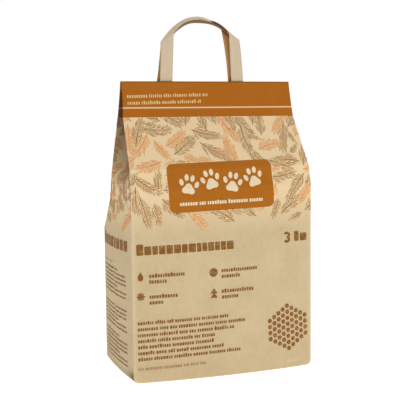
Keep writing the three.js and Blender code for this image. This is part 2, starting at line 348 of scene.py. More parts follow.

# %% [markdown]
# ## The paper shell
#
# The real walls are one sheet of paper, so they are one mesh here: rows of points that run up
# the walls, over the rim of the seam, down between the panels and flat to the middle, and in
# the same way flat across the base. A wall with a Solidify modifier would cost twice the faces,
# and nobody sees the inside of a sealed bag. Points crowd towards the folds, where the paper
# turns fastest.
#
# Deep folds are darker than a few lamps make them, because paper throws its own brown light
# back and forth there. So the mesh carries two marks in a UV map, for the shader to read: how
# much a place lies in shade, which the shader paints in as painted shade, and how near it is to
# a fold, where it paints a pale highlight for the light that the fold's rounded edge catches.

# %% Rings of points and their marks
PANEL_POINTS, PANEL_CROWDING = 104, 0.6
SIDE_POINTS, SIDE_CROWDING = 52, 0.4
BASE_ROWS, BODY_ROWS, TOP_ROWS = 18, 72, 122
RIM_WIDTH = 0.7 * MM
RIM_DEPTH = 2.4 * MM
RIM_ROUND = 0.35 * MM
SEAM_END_X = 92 * MM      # past this, the ends of the seam close too
BASE_LIFT = 0.6 * MM      # the middle of the base is this high, with the flaps under it
FLAP_THICKNESS = 0.25 * MM

GUSSET_SHADE, MIDDLE_SHADE = 0.72, 0.06
BAND_SIDE_SHADE = 0.8
UNDER_SHADE = 0.34
CORNER_SHADE = 0.60
RIM_SHADE = 0.55
BACK_SEAM_SHADE = 0.35
PANEL_HIGHLIGHT_WIDTH = 2.2 * MM
SIDE_HIGHLIGHT_WIDTH = 1.5 * MM


def crowded(count, strength):
    """Numbers from -1 to 1, closer together towards both ends: blend of t and sin(pi t / 2)."""
    t = np.linspace(-1, 1, count)
    return lerp(t, np.sin(t * math.pi / 2), strength)


def ring_shares():
    """Places across a panel and along a side, -1 to 1; the folds belong to the panels."""
    return (crowded(PANEL_POINTS, PANEL_CROWDING)[None, :],
            crowded(SIDE_POINTS, SIDE_CROWDING)[None, 1:-1])


def bag_ring(z):
    """The closed outline at heights z (rows), anticlockwise from above, rows x points x 3."""
    rows = z[:, None]
    across, along = ring_shares()
    return np.concatenate([
        panel_surface(across, rows, -1),
        side_surface(along, rows, 1),
        panel_surface(across, rows, 1)[:, ::-1],
        side_surface(along, rows, -1)[:, ::-1],
    ], axis=1)


def side_shade(s, z, hand):
    """How dark a place of a side lies, from 0 to 1.

    In the tucked gusset: opened^0.6 * (GUSSET_SHADE + MIDDLE_SHADE (1 - |s|)), and at least
    BAND_SIDE_SHADE beside the band. Where the paper turns under the bag it lies in shade too,
    and on the left most of all at the front corner, where the paper is tucked behind the panel.
    """
    opened = ease(z, TUCK_START, NECK_HEIGHT - GUSSET_REACH, 0, 1) ** 0.6
    deep = opened * (GUSSET_SHADE + MIDDLE_SHADE * (1 - np.abs(s)))
    deep = deep * ease(np.abs(s), 0.94, 1.0, 1, 0.35)
    beside_band = ease(z, NECK_HEIGHT - 8 * MM, NECK_HEIGHT + 5 * MM, 0, BAND_SIDE_SHADE)
    under = ease(z, 4 * MM, 14 * MM, UNDER_SHADE, 0)
    corner = np.exp(-((s + 0.98) / 0.22) ** 2 - ((z - 7 * MM) / (6 * MM)) ** 2)
    corner = CORNER_SHADE * corner if hand < 0 else 0
    return np.clip(np.maximum(deep, beside_band) + under + corner, 0, 1)


def ring_marks(z):
    """Two marks for each point of the ring: its painted shade, and how near it lies to a fold,
    where a painted highlight goes.

    Nearness is exp(-(d / w)^2) with d the distance from the fold. The cut edge at the top of
    the seam is shaded too, and so is the back seam where the paper is bare.
    """
    rows = z[:, None]
    across, along = ring_shares()
    # nearness to the folds, for the painted fold highlight
    near_panel = np.exp(-(((1 - np.abs(across)) * half_width(rows)) / PANEL_HIGHLIGHT_WIDTH) ** 2)
    half_depth = (fold_y(rows, 1) - fold_y(rows, -1)) / 2
    near_side = np.exp(-(((1 - np.abs(along)) * half_depth) / SIDE_HIGHLIGHT_WIDTH) ** 2)
    rim = ease(rows, SEAM_HEIGHT - 1.6 * MM, SEAM_HEIGHT - 0.4 * MM, 0, RIM_SHADE)
    seam = np.exp(-((across * half_width(rows) - BACK_SEAM_X) / MM) ** 2)
    bare = ease(rows, NECK_HEIGHT - 4 * MM, NECK_HEIGHT, 1, 0)
    front = rim + np.zeros(near_panel.shape)
    back = np.maximum(rim, BACK_SEAM_SHADE * seam * bare)
    right, left = (np.maximum(side_shade(along, rows, hand), rim) for hand in (1, -1))
    return (np.concatenate([front, right, back[:, ::-1], left[:, ::-1]], axis=1),
            np.concatenate([near_panel, near_side, near_panel, near_side[:, ::-1]], axis=1))


print("points in a ring:", bag_ring(np.array([0.1])).shape[1])


# %% Meshes from rows of points
def flat_rows(ring, height, shares, centre_y):
    """Rows that close a ring flat towards the line y = centre_y, at one height."""
    rows = np.repeat(ring[None], len(shares), axis=0)
    rows[..., 1] = lerp(centre_y, ring[None, :, 1], np.array(shares)[:, None])
    rows[..., 2] = height
    return rows


def ring_faces(row_count, count):
    """The quads between neighbouring rows, each row a closed ring of count points."""
    row = count * np.arange(row_count - 1)[:, None]
    first, second = row + np.arange(count), row + (np.arange(count) + 1) % count
    return np.stack([first, second, second + count, first + count], axis=-1).reshape(-1, 4)


def grid_mesh(name, rows):
    """A mesh from rows of points, closed round each row; first and last row are folded shut."""
    return make_mesh(name, rows.reshape(-1, 3), ring_faces(*rows.shape[:2]))


def make_mesh(name, vertices, faces, smooth=True):
    """A Blender object from arrays, with smooth shading and no transform."""
    mesh = bpy.data.meshes.new(name)
    mesh.from_pydata(vertices.tolist(), [], faces.tolist())
    mesh.update()
    mesh.polygons.foreach_set("use_smooth", np.full(len(mesh.polygons), smooth))
    obj = bpy.data.objects.new(name, mesh)
    bpy.context.scene.collection.objects.link(obj)
    return obj


def set_uv(obj, name, u, v):
    """Gives a mesh a UV map with one pair per vertex."""
    layer = obj.data.uv_layers.new(name=name)
    loops = np.empty(len(obj.data.loops), dtype=np.int32)
    obj.data.loops.foreach_get("vertex_index", loops)
    layer.data.foreach_set("uv", np.stack([u[loops], v[loops]], axis=1).ravel())


print("quads of three rings of four points:", len(ring_faces(3, 4)))


# %% The shell and the flaps of the base
def make_bag():
    """The paper shell of the bag, from the middle of the base up to inside the seam."""
    low = SIDE_ROUND * (1 - np.cos(np.linspace(0, math.pi / 2, BASE_ROWS)))
    body = np.linspace(SIDE_ROUND, FILL_HEIGHT, BODY_ROWS)[1:]
    top = np.linspace(FILL_HEIGHT, SEAM_HEIGHT - RIM_ROUND, TOP_ROWS)[1:]
    heights = np.concatenate([low, body, top])
    walls = bag_ring(heights)
    rim = walls[-1]
    inner = rim.copy()
    inner[:, 0] -= np.sign(inner[:, 0]) * np.clip(np.abs(inner[:, 0]) - SEAM_END_X, 0, RIM_WIDTH)
    inward = np.sign(SEAM_CENTRE_Y - inner[:, 1])
    inner[:, 1] += inward * np.minimum(RIM_WIDTH, np.abs(SEAM_CENTRE_Y - inner[:, 1]) * 0.8)
    crest = lerp(rim, inner, 0.5)
    crest[:, 2] = SEAM_HEIGHT
    shoulder = inner.copy()
    shoulder[:, 2] = SEAM_HEIGHT - RIM_ROUND
    closing = flat_rows(inner, SEAM_HEIGHT - RIM_DEPTH, [1.0, 0.5, 0.0], SEAM_CENTRE_Y)
    base = flat_rows(walls[0], BASE_LIFT, [0.0, 0.35, 0.7, 0.9, 0.985], 0.0)
    rows = np.concatenate([base, walls, crest[None], shoulder[None], closing])
    shell = grid_mesh("paper_shell", rows)
    # shade is painted shade, fold the nearness to a fold for the painted highlight; the rows of
    # the rim and between the panels lie fully in painted shade
    shade, fold = ring_marks(heights)
    below, above = np.zeros((len(base), rim.shape[0])), np.ones((len(closing) + 2, rim.shape[0]))
    set_uv(shell, "marks", np.concatenate([below, shade, above]).ravel(),
           np.concatenate([below, fold, above * 0]).ravel())
    return shell


def base_flap(name, side, reach, top):
    """One glued flap of the block bottom: a thin plate with both free corners cut off.

    It starts at the front (side -1) or back (side 1) edge of the base and reaches past the
    middle; half width(t) = full until t = 1/2, then narrower by the depth, a cut of 45 degrees.
    """
    t = np.linspace(0, 1, 24)
    start = side * (BODY_DEPTH / 2 - 3 * MM)
    y = lerp(start, -side * reach, t)
    full = BODY_WIDTH / 2 - SIDE_ROUND - 0.5 * MM
    half = full - np.maximum(np.abs(y - start) - np.abs(start) * 0.5, 0)
    shares = np.linspace(-1, 1, 30)
    sheet = np.stack([half[:, None] * shares, y[:, None] + 0 * shares, 0 * half[:, None] * shares],
                     axis=-1)
    lower = sheet[:, ::-1] + (0, 0, top - FLAP_THICKNESS)
    return grid_mesh(name, np.concatenate([sheet + (0, 0, top), lower], axis=1))


bag = make_bag()
flaps = [base_flap("base_flap_front", -1, 14 * MM, 0.55 * MM),
         base_flap("base_flap_back", 1, 10 * MM, 0.28 * MM)]
print("paper shell:", len(bag.data.polygons), "faces")

# %% [markdown]
# ## 2. The handles
#
# A flat paper handle is one strip of several glued layers. Its legs stand upright, and at each
# corner the strip turns over a slanting fold into the arch. A curve with a flat bevel would
# twist the strip evenly and lose the two folds. Here the strip is a ruled surface: its outer
# and its inner edge are two curves, each with its own sharp corners, and straight lines join
# them. On the front handle the outer edge becomes the arch's back edge, and on the back handle
# its front edge, so one arch nests under the other.

# %% Sizes of the handles
STRIP_WIDTH = 14 * MM
PAPER_THICKNESS = 0.8 * MM
HANDLE_SPAN = 94.8 * MM
LEG_DEPTH = 22 * MM       # length of a leg inside the seam
STRIP_POINTS = 11
ARCH_FACE = (45 * MM, 56 * MM)  # over these heights the leg's face becomes the arch's

FRONT_HANDLE = {
    "centre_x": -6.2 * MM, "leg_y": -9.9 * MM,
    "outer": {"half": 44.8 * MM, "corner_y": -6.6 * MM, "corners": (41 * MM, 44.5 * MM),
              "crown_y": 2.5 * MM, "crown": 69.5 * MM, "powers": (2.0, 2.0), "steep": 0.8},
    "inner": {"half": 31.3 * MM, "corner_y": -10.3 * MM, "corners": (50 * MM, 52 * MM),
              "crown_y": -10.6 * MM, "crown": 65.0 * MM, "powers": (2.8, 2.8), "steep": 0.0},
}
BACK_HANDLE = {
    "centre_x": -8 * MM, "leg_y": -5.9 * MM,
    "outer": {"half": 42 * MM, "corner_y": -4.1 * MM, "corners": (38 * MM, 44 * MM),
              "crown_y": -8.8 * MM, "crown": 64.9 * MM, "powers": (2.1, 2.2), "steep": 0.0},
    "inner": {"half": 29 * MM, "corner_y": 2.6 * MM, "corners": (46 * MM, 57 * MM),
              "crown_y": 5.0 * MM, "crown": 63.1 * MM, "powers": (2.0, 3.4), "steep": 0.0},
}
print(f"handles {HANDLE_SPAN / MM:.1f} mm wide, of {STRIP_WIDTH / MM:.0f} mm strip")


# %% The strips
def handle_edge(handle, edge, foot_half, leg_count=40, arch_count=90):
    """One edge of a handle from foot to foot.

    Leg: straight up, its Y drifting as free^2.5 of the free length. Arch:
    z = crown - (crown - corner) |u|^power (1 + steep (1 - u) on the right), with a corner and a
    power of its own on each side, because carrying has pulled the arch to the right.
    """
    feet = []
    for hand, corner in zip((-1, 1), edge["corners"]):
        t = np.linspace(0, 1, leg_count, endpoint=False)
        z = lerp(SEAM_HEIGHT - LEG_DEPTH, SEAM_HEIGHT + corner, t)
        free = np.clip((z - SEAM_HEIGHT) / corner, 0, 1)
        x = handle["centre_x"] + hand * lerp(foot_half, edge["half"], free)
        feet.append(np.stack([x, lerp(handle["leg_y"], edge["corner_y"], free**2.5), z], axis=-1))
    left, right = feet[0], feet[1][::-1]
    even = np.linspace(-1, 1, arch_count)
    u = lerp(even, np.sin(even * math.pi / 2), 0.5)
    corner = np.where(u < 0, *edge["corners"])
    level = np.abs(u) ** np.where(u < 0, *edge["powers"])
    level = level * (1 + edge["steep"] * np.where(u < 0, 0, 1 - u))
    arch = np.stack([
        handle["centre_x"] + edge["half"] * u,
        lerp(edge["crown_y"], edge["corner_y"], u**2),
        SEAM_HEIGHT + lerp(edge["crown"], corner, level),
    ], axis=-1)
    return np.concatenate([left, arch, right])


def strip_normals(outer, inner):
    """Mean of the unit normals before and after each section, n = across x along."""
    across = inner - outer
    along = np.diff(outer + inner, axis=0)
    between = np.cross(across[1:] + across[:-1], along)
    between /= np.linalg.norm(between, axis=1, keepdims=True)
    normal = np.concatenate([between[:1], between[1:] + between[:-1], between[-1:]])
    return normal / np.linalg.norm(normal, axis=1, keepdims=True)


def make_handle(name, handle):
    """Section rows across the strip, rounded at both edges, skinned and closed at the feet.

    The UV map "strip" holds the place across and along the strip in metres, and "face" holds
    1 on the front face and the share of the arch.
    """
    outer = handle_edge(handle, handle["outer"], HANDLE_SPAN / 2)
    inner = handle_edge(handle, handle["inner"], HANDLE_SPAN / 2 - STRIP_WIDTH)
    across = inner - outer
    normal = strip_normals(outer, inner)
    share = (crowded(STRIP_POINTS, 0.5) + 1) / 2
    thickness = PAPER_THICKNESS / 2 * np.minimum(1, 0.35 + 9 * np.minimum(share, 1 - share))
    middle = outer[:, None] + across[:, None] * share[None, :, None]
    lift = normal[:, None] * thickness[None, :, None]
    rows = np.concatenate([middle + lift, (middle - lift)[:, ::-1]], axis=1)
    feet = [row.mean(axis=0)[None].repeat(rows.shape[1], 0)[None] for row in (rows[0], rows[-1])]
    obj = grid_mesh(name, np.concatenate([feet[0], rows, feet[1]]))
    steps = np.linalg.norm(np.diff((outer + inner) / 2, axis=0), axis=1)
    length = np.concatenate([[0, 0], np.cumsum(steps), [steps.sum()]])
    across_uv = np.concatenate([share, share[::-1]]) * STRIP_WIDTH
    set_uv(obj, "strip", np.tile(across_uv, len(length)), np.repeat(length, rows.shape[1]))
    # the face and the arch share tell the handle shader where to paint shade
    front_face = np.concatenate([np.ones(STRIP_POINTS), np.zeros(STRIP_POINTS)])
    above_seam = rows[:, :, 2].mean(axis=1) - SEAM_HEIGHT
    arch_share = np.concatenate([[0], ease(above_seam, *ARCH_FACE, 0, 1), [0]])
    set_uv(obj, "face", np.tile(front_face, len(length)), np.repeat(arch_share, rows.shape[1]))
    return obj


handles = {name: make_handle(name, handle)
           for name, handle in (("front_handle_strip", FRONT_HANDLE),
                                ("back_handle_strip", BACK_HANDLE))}
for name, obj in handles.items():
    print(name, len(obj.data.polygons), "faces")

# %% [markdown]
# ## 3. The print
#
# The real print is a layer of ink a few thousandths of a millimetre thick. It could be a
# texture, but that would need a picture. Here it is geometry: flat shapes are drawn in the
# panel's millimetres and then laid a hair above the paper. Most are ribbons, a centre line with
# a half width at every point. A leaf is a ribbon whose width swells and closes, and a bar one
# with round ends. Discs and other round shapes are fans of rings.

# %% Shapes of ink
INK_LIFT = 0.16 * MM
TOP_INK_LIFT = 0.26 * MM  # ink that is printed over other ink


def rotated(x, z, turn):
    """The point or points (x, z), turned."""
    c, s = math.cos(turn), math.sin(turn)
    return x * c - z * s, x * s + z * c


def bent_line(base, heading, length):
    """A line from base in equal steps, one direction of heading for each point."""
    step = length / (len(heading) - 1)
    line = np.cumsum(np.stack([np.cos(heading), np.sin(heading)], axis=1) * step, axis=0)
    return line - line[0] + np.array(base)


class Print:
    """Collects ribbons of one ink and lays them all on one panel's surface."""

    def __init__(self, keep=None):
        """keep(x, z) in mm tells where the ink may lie; faces with a middle elsewhere go."""
        self.points, self.faces = [], []
        self.count, self.keep = 0, keep

    def ribbon(self, line, half):
        """Adds the strip between line + half n and line - half n, n being the line's normal."""
        line = np.asarray(line, dtype=float)
        half = np.broadcast_to(half, len(line))
        along = np.gradient(line, axis=0)
        along /= np.linalg.norm(along, axis=1, keepdims=True) + 1e-9
        normal = np.stack([-along[:, 1], along[:, 0]], axis=1)
        pairs = np.stack([line + normal * half[:, None], line - normal * half[:, None]], axis=1)
        self.points.append(pairs.reshape(-1, 2))
        a = self.count + 2 * np.arange(len(line) - 1)
        self.faces.append(np.stack([a, a + 1, a + 3, a + 2], axis=1))
        self.count += 2 * len(line)

    def fan(self, centre, rim, rings=4):
        """A filled shape: rings c + s (rim - c) from the centre out, so that it bends too."""
        centre, rim = np.array(centre, dtype=float), np.asarray(rim, dtype=float)
        shares = np.linspace(0, 1, rings + 1)[:, None, None]
        self.points.append((centre + shares * (rim - centre)).reshape(-1, 2))
        self.faces.append(self.count + ring_faces(rings + 1, len(rim)))
        self.count += len(rim) * (rings + 1)

    def disc(self, centre, radius, squash=1.0, turn=0.0, steps=16, rings=3):
        """A disc or oval with half axes r and r * squash."""
        t = np.linspace(0, 2 * math.pi, steps, endpoint=False)
        oval = rotated(radius * np.cos(t), radius * squash * np.sin(t), turn)
        self.fan(centre, np.stack(oval, axis=1) + np.array(centre), rings)

    def bar(self, start, end, height, round_share=1.0):
        """A bar with round ends, cut into short pieces so that it bends with the paper."""
        start, end = np.array(start, dtype=float), np.array(end, dtype=float)
        length = np.hypot(*(end - start))
        radius = min(height / 2 * round_share, length / 2)
        turn = radius * (1 - np.cos(np.linspace(0, math.pi / 2, 5)))
        inner = np.linspace(radius, length - radius, max(2, int(length / 2.2)))[1:-1]
        d = np.concatenate([turn, inner, length - turn[::-1]])
        past_end = (radius - np.minimum(d, length - d)).clip(0)
        rise = np.sqrt(np.clip(radius**2 - past_end**2, 0, None))
        line = start + (end - start) * (d / length)[:, None]
        self.ribbon(line, height / 2 - radius + rise)

    def triangle(self, a, b, c):
        """A plain triangle, its sides cut into short pieces."""
        corners = np.array([a, b, c], dtype=float)
        t = np.linspace(0, 1, 5, endpoint=False)[:, None]
        sides = [lerp(corners[k], corners[(k + 1) % 3], t) for k in range(3)]
        self.fan(corners.mean(axis=0), np.concatenate(sides))

    def leaf(self, base, angle, length, width, bend=0.0, steps=7):
        """A slim leaf: width sin(pi t^0.8) along a line that bends by `bend` radians."""
        t = np.linspace(0, 1, steps)
        line = bent_line(base, angle + bend * t, length)
        self.ribbon(line, width / 2 * np.sin(math.pi * t**0.8).clip(0) + 0.04)

    def words(self, x, z, length, height, seed, letter=0.62, gap=0.24, space=0.55, slope=0.0,
              corner=0.35):
        """A line of greeked text: small blocks in groups, of fixed seed, carrying no letters."""
        rng = np.random.default_rng(seed)
        start, end = x, x + length
        while x < end - letter * height:
            for _ in range(rng.integers(3, 10)):
                width = height * letter * rng.uniform(0.75, 1.25)
                if x + width > end:
                    return
                tall = height * (1.0 if rng.random() > 0.16 else 1.28)
                level = z + tall / 2 + slope * (x - start)
                self.bar((x, level), (x + width, level + slope * width), tall, corner)
                x += width + height * gap
            x += height * space

    def lay(self, name, surface, outward, shade, lift=INK_LIFT):
        """Lays the ink on a surface: S(p) + lift * n(p) for every point p at once."""
        flat, faces = np.concatenate(self.points), np.concatenate(self.faces)
        if self.keep is not None:
            faces = faces[self.keep(*flat[faces].mean(axis=1).T)]
            used, faces = np.unique(faces, return_inverse=True)
            flat, faces = flat[used], faces.reshape(-1, 4)
        a, z = flat[:, 0] * MM, flat[:, 1] * MM
        place = surface(a, z) + lift * surface_normal(surface, a, z, outward)
        layer = make_mesh(name, place, faces)
        # the marks carry the wall's painted shade onto the ink
        set_uv(layer, "marks", shade(a, z), a * 0)
        return layer


print("a quarter turn of (1, 0):", np.round(rotated(1, 0, math.pi / 2), 3))


# %% The four walls, each in its own flat coordinates
def panel_by_x(side):
    """The front or back panel by x in metres, as read from its own outside."""
    return lambda x, z: panel_surface(-side * x / half_width(z), z, side)


def wall_by_y(hand):
    """A side by the distance from its middle line in metres, as read from its own outside."""
    return lambda y, z: side_surface(hand * y / (BODY_DEPTH / 2), z, hand)


def shade_by_y(hand):
    """The shade of a side, in the same coordinates."""
    return lambda y, z: side_shade(hand * y / (BODY_DEPTH / 2), z, hand)


def no_shade(a, _):
    """The panels lie open to the light."""
    return a * 0


# Each wall's surface, its outward direction and its shade.
PANELS = {
    "front": (panel_by_x(-1), (0, -1, 0), no_shade),
    "back": (panel_by_x(1), (0, 1, 0), no_shade),
    "left": (wall_by_y(-1), (-1, 0, 0), shade_by_y(-1)),
    "right": (wall_by_y(1), (1, 0, 0), shade_by_y(1)),
}
print("panels:", ", ".join(PANELS))

# %% [markdown]
# ### Leafy sprigs
#
# The top of the bag is strewn with sprigs in two inks. A sprig is a bent stem with pairs of
# leaves that shorten towards its tip, and each leaf has a pale vein. A repeating tile would
# show its rows, so the sprigs are thrown at random, long ones first, and each stays only where
# it keeps its distance from the others. The label and the folds cut them off. All lengths of
# the print are in millimetres.

# %% One sprig, and where it may lie
SPRIG_TOP = 270.2
SPRIG_GAP = 5.7
SPRIG_LENGTHS = ((26, 36), (18, 26), (11, 18))
SPRIG_TRIES = 2600        # for each of the lengths
BRIGHT_SHARE = 0.38
THINNING_HEIGHT = 14
STEM_POINTS = 16
LEAF_WIDTH, VEIN_WIDTH = 1.65, 0.8
PAIR_SPACING = 3.0
LABEL_CENTRE = (-3.0, 199.4)
LABEL_SIZE = (116.0, 49.6)
LABEL_ROUND = 6.5
LABEL_TURN = math.radians(1.3)


def sprig(ink, vein, base, angle, length, rng):
    """One sprig: a bent stem, pairs of slim open leaves and a pale vein along each leaf."""
    t = np.linspace(0, 1, STEM_POINTS)
    heading = angle + rng.uniform(-0.6, 0.6) * t
    stem = bent_line(base, heading, length)
    ink.ribbon(stem, lerp(0.42, 0.2, t))
    pairs = max(4, int(length / PAIR_SPACING))
    for k in range(pairs):
        share = 0.06 + 0.90 * k / pairs
        place = np.array([np.interp(share, t, stem[:, 0]), np.interp(share, t, stem[:, 1])])
        lean = np.interp(share, t, heading)
        size = min(10.2, length * 0.38) * (1 - 0.5 * share**2) * rng.uniform(0.8, 1.15)
        for hand in (-1, 1):
            opening = lean + hand * rng.uniform(0.60, 0.90)
            ink.leaf(place, opening, size, LEAF_WIDTH, -hand * 0.25)
            vein.leaf(place, opening, size * 0.9, VEIN_WIDTH, -hand * 0.25)
    ink.leaf(stem[-2], heading[-1], 5.0, 1.6)
    vein.leaf(stem[-2], heading[-1], 4.6, VEIN_WIDTH)


def rounded_distance(x, z):
    """Signed distance in mm from the label's rounded edge: |max(q, 0)| - r, q = |p| - size + r."""
    along, up = rotated(x - LABEL_CENTRE[0], z - LABEL_CENTRE[1], -LABEL_TURN)
    across = np.abs(along) - (LABEL_SIZE[0] / 2 - LABEL_ROUND)
    upward = np.abs(up) - (LABEL_SIZE[1] / 2 - LABEL_ROUND)
    return np.hypot(np.maximum(across, 0), np.maximum(upward, 0)) - LABEL_ROUND


def free_panel(x, z):
    """Where a panel without a label takes the sprigs: below the band and between the folds."""
    return (z < SPRIG_TOP) & (np.abs(x) < half_width(z * MM) / MM - 0.6)


def free_front(x, z):
    """The same for the front panel, which also keeps its label clear."""
    return free_panel(x, z) & (rounded_distance(x, z) > 0.5)


def free_side(x, z):
    """The same for a side, between its two folds."""
    return (z < SPRIG_TOP) & (np.abs(x) < BODY_DEPTH / 2 / MM - 0.8)


print("the brown field starts", round(rounded_distance(LABEL_CENTRE[0], SPRIG_TOP), 1),
      "mm above the label")


# %% The sprigs of all four walls
def strew(keep, half, low, seed):
    """Strews sprigs at random places, each kept if it lies SPRIG_GAP from all the earlier ones.

    The long sprigs come first and the short ones fill what is left. Near the height low fewer
    and fewer of the tries count, so the pattern thins out downwards. Returns the inks: dark and
    bright leaves and their pale veins.
    """
    rng = np.random.default_rng(seed)
    inks = {kind: Print(keep) for kind in ("dark", "bright", "vein")}
    taken = np.full((1, 2), -1e3)
    for shortest, longest in SPRIG_LENGTHS:
        for _ in range(SPRIG_TRIES):
            base = rng.uniform((-half - 12, low), (half + 12, SPRIG_TOP + 14))
            angle, length = rng.uniform(0, 2 * math.pi), rng.uniform(shortest, longest)
            axis = base + np.linspace(0.05, 1, 9)[:, None] * length * np.array(
                [math.cos(angle), math.sin(angle)])
            covered = keep(axis[:, 0], axis[:, 1]).mean()
            thinned = rng.random() > (axis[:, 1].min() - low + 4) / THINNING_HEIGHT
            apart = np.linalg.norm(axis[:, None] - taken[None], axis=2).min() > SPRIG_GAP
            if covered > 0.2 and apart and not thinned:
                kind = "bright" if rng.random() < BRIGHT_SHARE else "dark"
                sprig(inks[kind], inks["vein"], base, angle, length, rng)
                taken = np.concatenate([taken, axis])
    return inks


prints = {}
for panel, keep, half, low, seed in [("front", free_front, 98, 162, 3),
                                     ("back", free_panel, 98, 162, 4),
                                     ("left", free_side, 54, 166, 8),
                                     ("right", free_side, 54, 166, 9)]:
    for ink, layer in strew(keep, half, low, seed).items():
        piece_name = f"sprigs_{panel}_{ink}"
        lift = TOP_INK_LIFT if ink == "vein" else INK_LIFT
        prints[piece_name] = (ink, layer.lay(piece_name, *PANELS[panel], lift))
print(sum(len(obj.data.polygons) for _, obj in prints.values()), "printed faces of sprigs")

# %% [markdown]
# ### Signs, blocks of greeked text and the dot figure
#
# A pack carries a headline, notes with small signs, a paragraph and a figure. Real text could be
# made with Blender's text objects, but this is a plain pack for any maker, so each line is a row
# of blocks that can't be read, and the label holds a trail of paws. The blocks are bars of the
# same class as the leaves. The whole print is turned by a degree on the paper.

# %% Signs, paws, dots and lines of blocks
PRINT_TURN = math.radians(1.1)
LEFT_EDGE = -95.5
HEADLINE = {"letter": 0.70, "gap": 0.13, "space": 0.0, "corner": 0.22}
UNIT = {"letter": 0.86, "gap": 0.2, "space": 0.0, "corner": 0.22}
NOTE = {"letter": 0.6, "gap": 0.2, "space": 0.0}
PARAGRAPH = {"letter": 0.6, "gap": 0.2, "space": 0.42}
LABEL_LINE = {"letter": 0.6, "gap": 0.18, "space": 0.4}
BAND_LINE = {"letter": 0.5, "gap": 0.26, "space": 0.4}
SIDE_MARK = {"letter": 0.92, "gap": 0.2, "space": 0.0, "corner": 0.2}
SIGN_X = -91.8


def turned(point):
    """A point of the label's own frame, turned and moved to its place on the panel."""
    return np.array(LABEL_CENTRE) + rotated(*point, LABEL_TURN)


def paw(ink, centre, size, turn):
    """A paw: one broad pad, rounder below, and four toes on an arc above it."""

    def at(x, z):
        return np.array(centre) + size * np.stack(rotated(x, z, turn), axis=-1)

    t = np.linspace(0, 2 * math.pi, 32, endpoint=False)
    reach = 0.31 + 0.055 * np.cos(3 * (t - math.pi / 2)) + 0.02 * np.cos(2 * t)
    ink.fan(at(0.0, -0.24), at(reach * 1.12 * np.cos(t), -0.24 + reach * np.sin(t)), 6)
    for x, z, lean in [(-0.47, 0.10, 0.35), (-0.18, 0.42, 0.12), (0.18, 0.42, -0.12),
                       (0.47, 0.10, -0.35)]:
        ink.disc(at(x, z), size * 0.20, 0.66, turn + lean + math.pi / 2)


def row(ink, x, z, length, height, seed, **spacing):
    """A line of greeked text that follows the print's slight turn, x and z in panel mm."""
    ink.words(x, z, length, height, seed, slope=math.tan(PRINT_TURN), **spacing)


def front_texts(ink):
    """The brown text places of the front panel: headline, weight, four notes and a paragraph."""
    row(ink, LEFT_EDGE, 131.8, 107.5, 8.8, 41, **HEADLINE)
    figure_three(ink, (70.0, 136.6), 10.6)
    row(ink, 79.0, 137.4, 17.5, 8.2, 43, **UNIT)
    notes = [(-82.8, 108.6, 37), (-82.8, 87.2, 30), (-6.0, 110.0, 42), (-6.0, 88.4, 38)]
    for k, (x, z, length) in enumerate(notes):
        row(ink, x, z, length, 3.3, 50 + k, **NOTE)
        row(ink, x, z - 6.0, length * 0.5, 3.3, 60 + k, **NOTE)
    for line, length in enumerate([97, 118, 103, 84, 84, 93, 112]):
        row(ink, LEFT_EDGE + 0.2, 60.6 - 6.2 * line, length, 3.1, 70 + line, **PARAGRAPH)


def figure_three(ink, corner, height):
    """A plain figure 3: one line of two arcs that meet in the middle."""
    radius = height / 4 - 0.35
    upper = np.linspace(2.6, -1.45, 12)
    lower = np.linspace(1.45, -2.6, 12)
    line = [(radius * 1.2 * math.cos(a), 3 * radius + 0.9 + radius * math.sin(a)) for a in upper]
    line += [(radius * 1.2 * math.cos(a), radius + 0.9 + radius * math.sin(a)) for a in lower]
    ink.ribbon(np.array(line) + np.array(corner), 1.35)


def signs(ink):
    """Four small signs beside the notes: a drop, a burst, a disc and two triangles."""
    t = np.linspace(0, 2 * math.pi, 32, endpoint=False)
    drop = np.stack([3.3 * np.cos(t) * (1 - np.sin(t)) ** 0.5 / 1.25, 4.6 * np.sin(t)], axis=1)
    ink.fan((SIGN_X, 109.6), drop + np.array([SIGN_X, 110.4]))
    spike = np.linspace(0, 2 * math.pi, 64, endpoint=False)
    reach = (3.7 + 0.95 * np.cos(8 * spike))[:, None]
    burst = np.stack([np.cos(spike), np.sin(spike)], axis=1) * reach + np.array([SIGN_X, 89.6])
    ink.fan((SIGN_X, 89.6), burst)
    ink.disc((-14.9, 110.5), 4.6, steps=24, rings=5)
    for z in (88.6, 84.0):
        ink.triangle((-14.6 - 4.0, z), (-14.6 + 4.0, z), (-14.6, z + 5.4))


def dot_figure(ink, core):
    """A hexagon of dots with paler cores: nine columns of four to eight dots and back."""
    pitch_x, pitch_z = 5.35, 6.65
    centre, turn = (71.0, 45.2), math.radians(3.6)
    for column in range(-4, 5):
        dots = 8 - abs(column)
        for k in range(dots):
            x, z = column * pitch_x, (k - (dots - 1) / 2) * pitch_z
            place = np.array(centre) + rotated(x, z, turn)
            ink.disc(place, 2.45, steps=14, rings=2)
            core.disc(place, 0.5, steps=8, rings=1)


print("a paw stands at", np.round(turned((-36, 2.6)), 1), "mm on the front panel")

